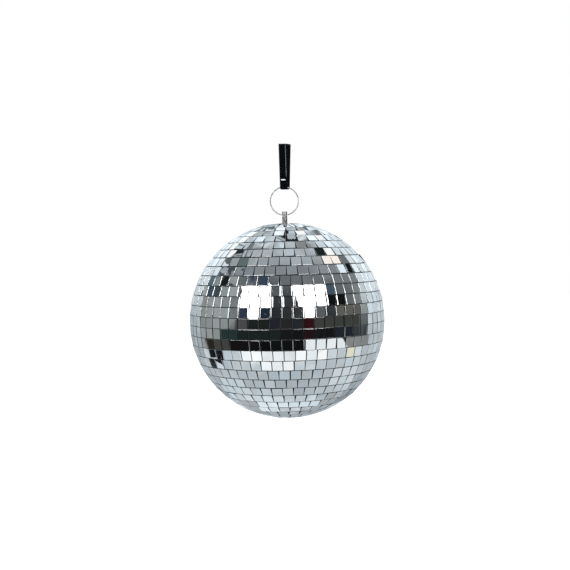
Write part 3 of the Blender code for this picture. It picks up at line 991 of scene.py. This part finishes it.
# Tints of the things in the dark room.
CLUTTER_HUES = [
    (0.30, (0.45, 1.1, 1.05)),
    (0.41, (0.65, 0.95, 1.45)),
    (0.48, (1, 1, 1)),
    (0.57, (1.1, 1, 0.85)),
    (0.68, (2.4, 0.6, 0.65)),
]
WHITE = (1.0, 1.0, 1.0)
# Soft oval shapes: middle, reach, softness and colour.
CEILING_PATCHES = [
    ((-8, 72.5), (10, 3), 0.2, WHITE),
    ((25, 66.5), (5.5, 2.8), 0.2, WHITE),
    ((44, 61), (5.5, 3), 0.15, WHITE),
    ((52, 54), (4, 2.8), 0.15, WHITE),
    ((36.5, 46), (4.6, 3.0), 0.1, (1.0, 1.0, 0.99)),
    ((33.5, 39.5), (8.0, 3.0), 0.1, (1.02, 0.93, 0.86)),
    ((38.5, 33.2), (3.6, 3.2), 0.1, WHITE),
    ((-32, 63), (7, 2.8), 0.3, (0.46, 0.50, 0.51)),
    ((-44, 64), (3.5, 2.8), 0.2, WHITE),
    ((-47, 58), (6, 3), 0.2, (0.98, 1.0, 1.0)),
    ((-54, 50.5), (6, 4), 0.2, (0.98, 1.0, 1.0)),
    ((-55, 44.5), (5.5, 3.5), 0.2, (0.98, 1.0, 1.0)),
    ((-45, 45.0), (3.4, 2.2), 0.1, (0.02, 0.03, 0.032)),
    ((-48, 38.5), (3.4, 2.6), 0.1, (0.11, 0.13, 0.135)),
    ((-33, 39), (3.0, 2.6), 0.1, (0.12, 0.16, 0.155)),
    ((27.5, 56.0), (4.0, 2.0), 0.1, (0.006, 0.010, 0.011)),
    ((28.5, 45.8), (2.8, 2.2), 0.1, (0.010, 0.016, 0.018)),
    ((19, 51.5), (6, 2.6), 0.2, (0.24, 0.26, 0.265)),
    ((48.5, 39.8), (3.4, 2.8), 0.1, (0.15, 0.17, 0.175)),
    ((49.5, 33.5), (4.4, 3.4), 0.1, (0.008, 0.012, 0.013)),
]
ROOM_PATCHES = [
    ((-16, 26.5), (6.0, 1.5), 0.12, (0.040, 0.060, 0.090)),
    ((-42, 26.3), (2.0, 2.0), 0.1, (0.010, 0.014, 0.016)),
    ((-46, 19.5), (2.0, 2.0), 0.1, (0.05, 0.07, 0.08)),
    ((-57, 26), (2.6, 2.8), 0.1, (0.10, 0.15, 0.18)),
    ((-54, 20), (2.6, 2.8), 0.1, (0.05, 0.08, 0.10)),
    ((25, 20.5), (4, 3.0), 0.1, (0.06, 0.09, 0.12)),
    ((33, 15), (2.4, 2.6), 0.1, (0.006, 0.008, 0.008)),
    ((-26.3, 8.6), (2.8, 2.8), 0.1, (0.026, 0.038, 0.062)),
    ((-12.5, 8.6), (3.4, 2.8), 0.1, (0.014, 0.024, 0.040)),
    ((7, 8.6), (2.8, 2.8), 0.1, (0.010, 0.016, 0.022)),
    ((21.5, 8.6), (3.0, 2.8), 0.1, (0.10, 0.11, 0.12)),
    ((40, 8.6), (10, 2.8), 0.2, (0.115, 0.113, 0.100)),
    ((-26, 2.5), (6, 2.8), 0.1, (0.066, 0.069, 0.073)),
    ((-15, 2.5), (5.5, 2.8), 0.1, (0.013, 0.016, 0.0155)),
    ((-5.5, 2.5), (3, 2.8), 0.1, (0.016, 0.017, 0.026)),
    ((32, 2.5), (14, 2.8), 0.1, (0.046, 0.050, 0.045)),
    ((14.0, 3.0), (4.0, 3.0), 0.1, (0.030, 0.006, 0.009)),
    ((13.4, -3.2), (3.6, 2.7), 0.1, (0.017, 0.007, 0.008)),
    ((-35, -3.5), (8, 2.8), 0.2, (0.020, 0.036, 0.033)),
    ((-16, -3.5), (12, 2.8), 0.2, (0.012, 0.018, 0.017)),
    ((35, -3.0), (6, 2.6), 0.1, (0.014, 0.020, 0.028)),
    ((-38, -9.4), (8.5, 2.8), 0.1, (0.055, 0.057, 0.051)),
    ((-53, -9.4), (4.5, 2.8), 0.1, (0.030, 0.022, 0.016)),
]
FLOOR_PATCHES = [
    ((24.3, -10.0), (13.9, 4.3), 0.08, (0.86, 0.89, 0.90)),
    ((34.4, -7.8), (2.6, 2.6), 0.08, (0.84, 0.87, 0.88)),
    ((45, -9.8), (7, 3.8), 0.1, (0.24, 0.245, 0.24)),
    ((43, -15.3), (3.2, 2.8), 0.1, (0.78, 0.77, 0.60)),
    ((41, -33), (13, 8), 0.6, (0.62, 0.68, 0.72)),
    ((-45, -38), (14, 8), 0.6, (0.58, 0.66, 0.70)),
    ((-45, -57), (14, 7), 0.6, (0.42, 0.45, 0.47)),
    ((39, -54), (13, 8), 0.6, (0.37, 0.41, 0.43)),
]
# Places where thin leaves and strips of another tone break up the room: middle, reach and colour.
BROKEN_PLACES = [
    ((-49, -19), (8, 8), (0.008, 0.010, 0.012)),
    ((-40, 30), (12, 8), (0.06, 0.08, 0.085)),
    ((-40, 52), (12, 6), (0.16, 0.19, 0.195)),
    ((4, 61), (13, 4), (0.12, 0.15, 0.155)),
    ((-32, 70), (25, 5), (0.16, 0.19, 0.20)),
    ((48, 68), (14, 5), (0.14, 0.18, 0.19)),
]
# Each softbox as rounded slabs that join: middle and reach.
SOFTBOXES = [
    ((-17.5, 20.0), (9.2, 3.4)),
    ((-19.2, 14.5), (11.0, 3.3)),
    ((-19.6, 9.0), (4.0, 3.6)),
    ((11.6, 20.0), (7.0, 3.4)),
    ((15.9, 14.5), (9.4, 3.1)),
    ((15.2, 8.6), (2.8, 3.4)),
]


def build_camera():
    back = Vector((0, -math.cos(CAMERA_ELEVATION), math.sin(CAMERA_ELEVATION)))
    right = Vector((1, 0, 0))
    up = right.cross(-back)
    place = CENTRE + back * CAMERA_DISTANCE
    aim = CENTRE - right * AIM_LEFT + up * AIM_UP
    data = bpy.data.cameras.new("camera")
    data.lens = CAMERA_LENS
    data.sensor_width = 36
    data.clip_start = 0.01
    camera = bpy.data.objects.new("camera", data)
    camera.matrix_world = (
        Matrix.Translation(place)
        @ (aim - place).to_track_quat("-Z", "Y").to_matrix().to_4x4()
        @ Matrix.Rotation(CAMERA_ROLL, 4, "Z")
    )
    bpy.context.scene.collection.objects.link(camera)
    bpy.context.scene.camera = camera
    return camera


def lighting_rig(camera):
    """An empty that turns with the camera, so that the ball mirrors the same studio from every side."""
    rig = bpy.data.objects.new("lighting_rig", None)
    bpy.context.scene.collection.objects.link(rig)
    follow = rig.constraints.new("COPY_ROTATION")
    follow.target = camera
    follow.use_x = False
    follow.use_y = False
    return rig


def tone_ramp(tree, share, tones):
    return ramp(tree, share, [((latitude + 90) / 180, grey) for latitude, grey in reversed(tones)])


def oval(tree, place, middle, reach, softness, power=2.0):
    """1 inside a rounded shape at a (longitude, latitude), falling to 0 at its soft edge."""
    terms = []
    for angle, centre, size in zip(place, middle, reach):
        away = math_node(tree, "DIVIDE", math_node(tree, "SUBTRACT", angle, centre), size)
        terms.append(math_node(tree, "POWER", math_node(tree, "ABSOLUTE", away), power))
    return smooth_step(tree, math_node(tree, "ADD", *terms), 1 + softness, 1 - softness)


def mirrored_place(tree, rig):
    """Direction halfway between a ray and the camera, then its longitude and latitude in degrees."""
    ray = add_node(tree, "ShaderNodeTexCoord", {"object": rig}).outputs["Object"]
    camera = (0, -math.cos(CAMERA_ELEVATION), math.sin(CAMERA_ELEVATION))
    vector = "ShaderNodeVectorMath"
    unit = math_node(tree, "NORMALIZE", ray, kind=vector)
    both = math_node(tree, "ADD", unit, camera, kind=vector)
    half = math_node(tree, "NORMALIZE", both, kind=vector)
    parts = add_node(tree, "ShaderNodeSeparateXYZ", Vector=half).outputs
    latitude = math_node(tree, "DEGREES", math_node(tree, "ARCSINE", parts["Z"]))
    toward = math_node(tree, "MULTIPLY", parts["Y"], -1)
    longitude = math_node(tree, "DEGREES", math_node(tree, "ARCTAN2", parts["X"], toward))
    return half, (longitude, latitude)


def blended(tree, *factors):
    product = factors[0]
    for factor in factors[1:]:
        product = math_node(tree, "MULTIPLY", product, factor)
    return product


def widened(tree, longitude, latitude, low, high):
    """Longitude stretched in two steps of latitude, so that a wall reaches further in near the ceiling."""
    first = scaled(tree, smooth_step(tree, latitude, 26, 33), low, 1.0)
    second = scaled(tree, smooth_step(tree, latitude, 46, 55), high, first)
    return math_node(tree, "MULTIPLY", longitude, second)


def room_tones(tree, half, place):
    """Ceiling, dark room behind the camera with its walls, and the bright floor."""
    longitude, latitude = place
    share = scaled(tree, latitude, 1 / 180, 0.5)
    front = tone_ramp(tree, share, FRONT_TONES)
    above_floor = smooth_step(tree, latitude, -12.7, -12.2)
    room_height = blended(tree, above_floor, smooth_step(tree, latitude, 34, 28))
    on_floor = smooth_step(tree, latitude, -12.2, -12.7)
    glow = blended(tree, oval(tree, place, (-4, -15.5), (27, 8), 0.2), on_floor)
    front = mix_color(tree, glow, front, FLOOR_GLOW)
    fall = math_node(tree, "MAXIMUM", math_node(tree, "SUBTRACT", 3.0, latitude), 0.0)
    slanted = scaled(tree, fall, 1.45, longitude)
    left_wall = blended(tree, smooth_step(tree, slanted, -28, -34), room_height)
    rise = smooth_step(tree, latitude, -10, 10)
    right_wall = blended(tree, smooth_step(tree, longitude, 22, 60), room_height, rise)
    front = mix_color(tree, left_wall, front, LEFT_WALL)
    front = mix_color(tree, right_wall, front, RIGHT_WALL)
    hue = ramp(tree, noise(tree, 11.0, 0.0, vector=half), CLUTTER_HUES)
    tinted = blended(
        tree,
        smooth_step(tree, latitude, 14, 8),
        room_height,
        smooth_step(tree, slanted, -34, -28),
        smooth_step(tree, longitude, 38, 28),
        0.15,
    )
    front = mix_color(tree, tinted, front, mix_color(tree, 1.0, front, hue, "MULTIPLY"))
    left = smooth_step(tree, widened(tree, longitude, latitude, 0.2, 0.25), -57, -64)
    right = smooth_step(tree, widened(tree, longitude, latitude, 0.3, 0.25), 49, 57)
    front = mix_color(tree, left, front, tone_ramp(tree, share, LEFT_TONES))
    return mix_color(tree, right, front, tone_ramp(tree, share, RIGHT_TONES))


def build_world(rig):
    """The studio as the mirrors see it. The camera itself sees plain white behind the object."""
    world = bpy.data.worlds.new("studio")
    bpy.context.scene.world = world
    world.use_nodes = True
    tree = world.node_tree
    tree.nodes.clear()
    half, place = mirrored_place(tree, rig)
    studio = room_tones(tree, half, place)
    mottle = noise(tree, 16.0, 3.0, vector=half)
    even = ramp(tree, mottle, [(0.3, 0.80), (0.7, 1.16)])
    patchy = ramp(tree, mottle, [(0.36, 0.45), (0.5, 1.0), (0.62, 1.5)])
    uneven = mix_color(tree, smooth_step(tree, place[1], 50, 60), even, patchy)
    studio = mix_color(tree, 1.0, studio, uneven, "MULTIPLY")
    studio = mix_color(tree, 1.0, studio, STUDIO_TINT, "MULTIPLY")
    for middle, reach, softness, color in CEILING_PATCHES + ROOM_PATCHES + FLOOR_PATCHES:
        studio = mix_color(tree, oval(tree, place, middle, reach, softness, 3.5), studio, color)
    leaves = smooth_step(tree, noise(tree, 38.0, 0.0, vector=half), 0.525, 0.54)
    for middle, reach, color in BROKEN_PLACES:
        studio = mix_color(tree, blended(tree, oval(tree, place, middle, reach, 0.4), leaves), studio, color)
    for middle, reach in SOFTBOXES:
        glow = (SOFTBOX_LIGHT,) * 3
        studio = mix_color(tree, oval(tree, place, middle, reach, 0.06, 4.0), studio, glow)
    seen = add_node(tree, "ShaderNodeBackground", Color=studio, Strength=1.0).outputs[0]
    plain = add_node(tree, "ShaderNodeBackground", Color=(1, 1, 1, 1), Strength=1.0).outputs[0]
    camera_ray = add_node(tree, "ShaderNodeLightPath").outputs["Is Camera Ray"]
    shown = add_node(tree, "ShaderNodeMixShader", i0=camera_ray, i1=seen, i2=plain).outputs[0]
    add_node(tree, "ShaderNodeOutputWorld", Surface=shown)


def floor_material():
    """Seamless white paper, lit so evenly that it reads plain white."""
    material, tree, shader = new_material("white_paper")
    paint(tree, shader, ramp(tree, noise(tree, 90, 3), [(0.3, 0.86), (0.7, 0.90)]), 0.9)
    shader.inputs["Emission Color"].default_value = (1, 1, 1, 1)
    shader.inputs["Emission Strength"].default_value = 0.55
    return material


def build_floor():
    """A wide round sheet of paper below the ball. Mirrors see the studio in its place."""
    body = bmesh.new()
    level = CENTRE.z - FLOOR_DROP
    bmesh.ops.create_circle(body, cap_ends=True, segments=96, radius=6.0)
    bmesh.ops.translate(body, vec=(0, 0, level), verts=body.verts)
    floor = link_mesh("floor", written("floor", body, floor_material()))
    floor.visible_glossy = False


def build_studio():
    camera = build_camera()
    build_world(lighting_rig(camera))
    build_floor()
    bpy.context.scene.view_settings.view_transform = "Standard"


mirror = build_tiles()
dress(bottom_disc(mirror), "ball", "mirror_tile", "bottom_mirror")
build_post()
build_hanging()
build_core()
build_studio()
